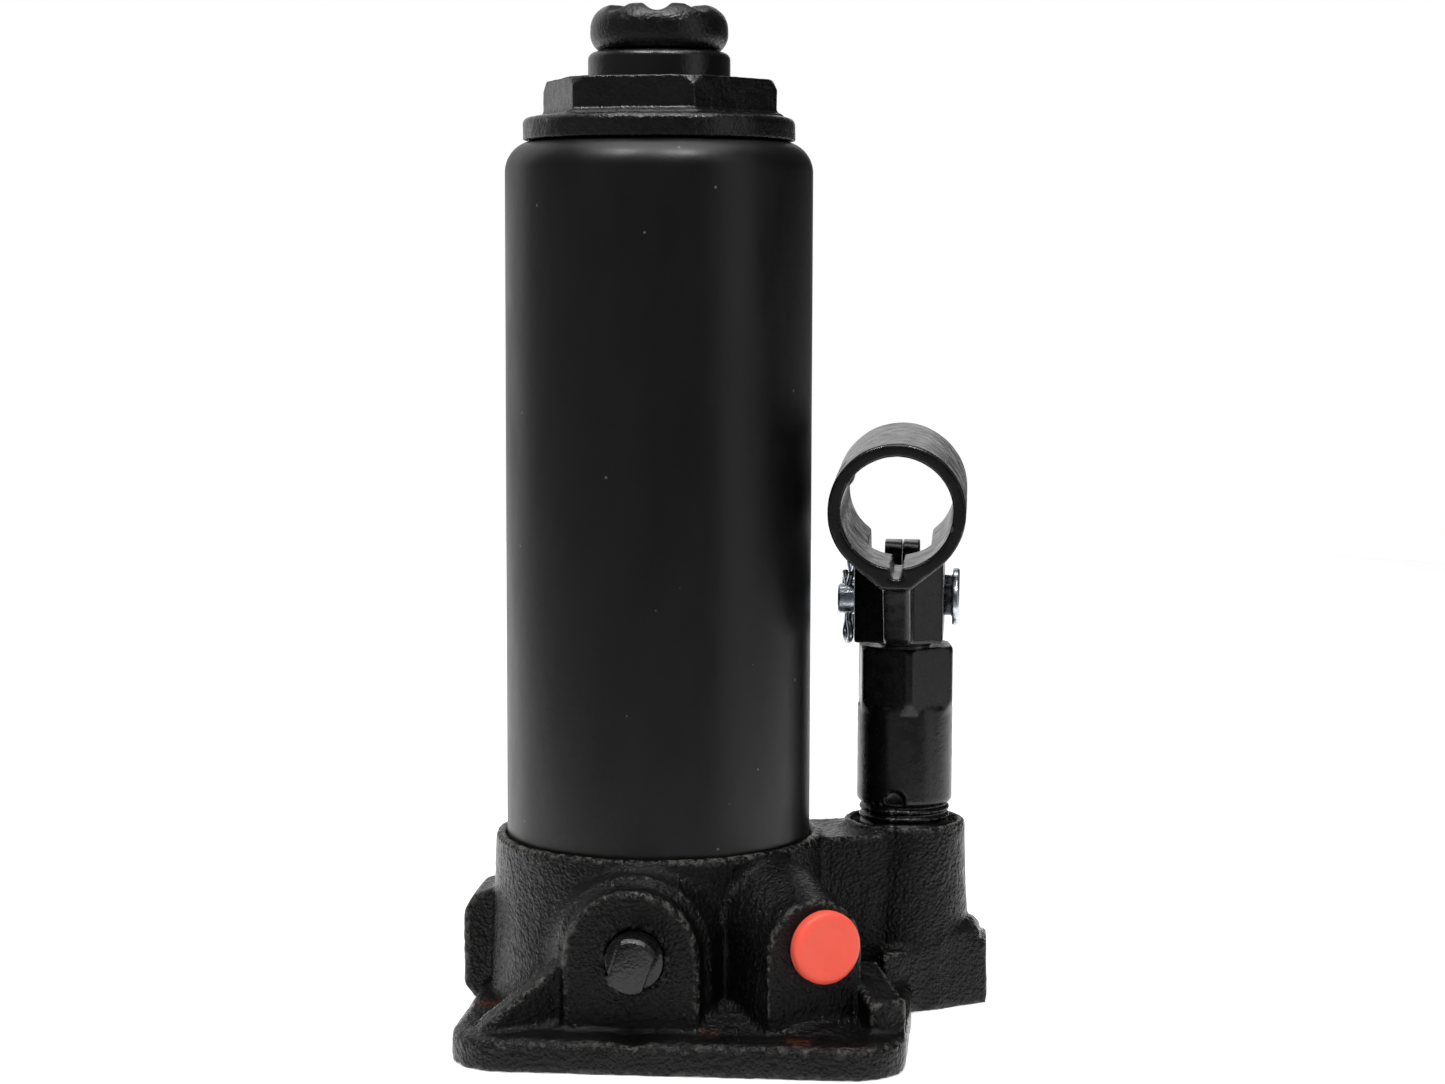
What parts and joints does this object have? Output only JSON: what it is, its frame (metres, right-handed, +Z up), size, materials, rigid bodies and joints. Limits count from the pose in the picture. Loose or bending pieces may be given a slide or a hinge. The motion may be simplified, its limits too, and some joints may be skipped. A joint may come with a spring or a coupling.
{
  "type": "bottle jack",
  "caption": "Hydraulic bottle jack with a toothed extension-screw saddle, lever pump with handle socket, release valve and overload valve on a cast foot.",
  "frame": {"origin": "on the ram's axis at the underside of the base casting", "axes": "+Z up along the ram, +X towards the pump side, -Y towards the front, where the release valve is"},
  "size_m": [0.1027, 0.092, 0.194],
  "materials": {
    "casting_paint": "gloss black paint over a rough sand casting",
    "tank_paint": "smooth satin black paint",
    "nut_paint": "semi-gloss black paint over cast steel",
    "pump_paint": "semi-gloss black paint",
    "socket_paint": "semi-gloss black paint",
    "saddle_paint": "semi-gloss black paint",
    "ram_steel": "ground and hard-chromed",
    "steel": "machined",
    "ball_steel": "polished bearing steel",
    "spring_steel": "drawn wire",
    "zinc": "bright zinc plating",
    "seal_rubber": "nitrile rubber",
    "plug_rubber": "moulded rubber",
    "backup_plastic": "moulded",
    "copper": "annealed copper",
    "cap_plastic": "orange-red moulded plastic",
    "mesh": "woven mesh"
  },
  "bodies": {
    "base": {"base_casting": "casting_paint", "reservoir_bottom_seal": "seal_rubber", "reservoir_tube": "tank_paint", "reservoir_top_seal": "seal_rubber", "filler_plug": "plug_rubber", "cylinder_gasket": "copper", "cylinder_tube": "steel", "top_nut": "nut_paint", "ram_wiper_seal": "seal_rubber", "pump_cylinder": "pump_paint", "pump_washer": "copper", "pump_wiper": "seal_rubber", "release_valve_seal": "seal_rubber", "relief_valve_cap": "cap_plastic", "relief_adjusting_screw": "steel", "relief_spring": "spring_steel", "delivery_spring": "spring_steel", "delivery_retainer": "steel", "oil_strainer": "mesh", "passage_plug": "ball_steel", "link_base_pin": "zinc", "link_base_cotter": "zinc"},
    "ram": {"ram": "ram_steel", "ram_piston": "steel", "piston_cup_seal": "seal_rubber", "piston_backup_ring": "backup_plastic", "piston_retaining_ring": "spring_steel"},
    "screw_carrier": {"screw_stop_ring": "spring_steel"},
    "screw": {"extension_screw": "saddle_paint"},
    "valve_ball": {"release_valve_ball": "ball_steel"},
    "valve": {"release_valve": "nut_paint"},
    "links": {"link_plate_left": "socket_paint", "link_plate_right": "socket_paint", "link_top_pin": "zinc", "link_top_cotter": "zinc"},
    "socket": {"handle_socket": "socket_paint", "plunger_pin": "zinc", "plunger_cotter": "zinc"},
    "plunger": {"pump_plunger": "steel", "plunger_seal": "seal_rubber"},
    "suction_ball": {"suction_ball": "ball_steel"},
    "delivery_ball": {"delivery_ball": "ball_steel"},
    "relief_ball": {"relief_ball": "ball_steel"}
  },
  "joints": [
    {"name": "ram_lift", "type": "slide", "parent": "base", "child": "ram", "axis": [0, 0, 1], "range_m": [0, 0.118]},
    {"name": "screw_rise", "type": "slide", "parent": "ram", "child": "screw_carrier", "axis": [0, 0, 1], "range_m": [0, 0.06]},
    {"name": "screw_turn", "type": "hinge", "parent": "screw_carrier", "child": "screw", "pos_m": [0, 0, 0.18], "axis": [0, 0, 1], "range_deg": [0, 7200]},
    {"name": "valve_travel", "type": "slide", "parent": "base", "child": "valve_ball", "axis": [0, -1, 0], "range_m": [0, 0.00187]},
    {"name": "valve_turn", "type": "hinge", "parent": "valve_ball", "child": "valve", "pos_m": [0, -0.04, 0.0194], "axis": [0, -1, 0], "range_deg": [0, 540]},
    {"name": "link_rock", "type": "hinge", "parent": "base", "child": "links", "pos_m": [0.0462, 0.0335, 0.024], "axis": [1, 0, 0], "range_deg": [0, 3.1]},
    {"name": "pump_stroke", "type": "hinge", "parent": "links", "child": "socket", "pos_m": [0.0462, 0.0335, 0.0797], "axis": [-1, 0, 0], "range_deg": [0, 36.3]},
    {"name": "plunger_travel", "type": "slide", "parent": "base", "child": "plunger", "axis": [0, 0, 1], "range_m": [0, 0.0101]},
    {"name": "suction_lift", "type": "slide", "parent": "base", "child": "suction_ball", "axis": [0, 0, 1], "range_m": [0, 0.0015]},
    {"name": "delivery_lift", "type": "slide", "parent": "base", "child": "delivery_ball", "axis": [0, 0, 1], "range_m": [0, 0.0012], "stiffness_N_per_m": 50, "deforming": ["delivery_spring"]},
    {"name": "relief_lift", "type": "slide", "parent": "base", "child": "relief_ball", "axis": [0.515, -0.8572, 0], "range_m": [0, 0.0004], "stiffness_N_per_m": 100}
  ],
  "couplings": [
    {"joint": "screw_turn", "follows": "screw_rise", "rad_per_m": 2094.4},
    {"joint": "valve_turn", "follows": "valve_travel", "rad_per_m": 5026.5},
    {"joint": "link_rock", "follows": "pump_stroke", "ratio": 0.085225},
    {"joint": "plunger_travel", "follows": "pump_stroke", "m_per_rad": 0.015776}
  ]
}
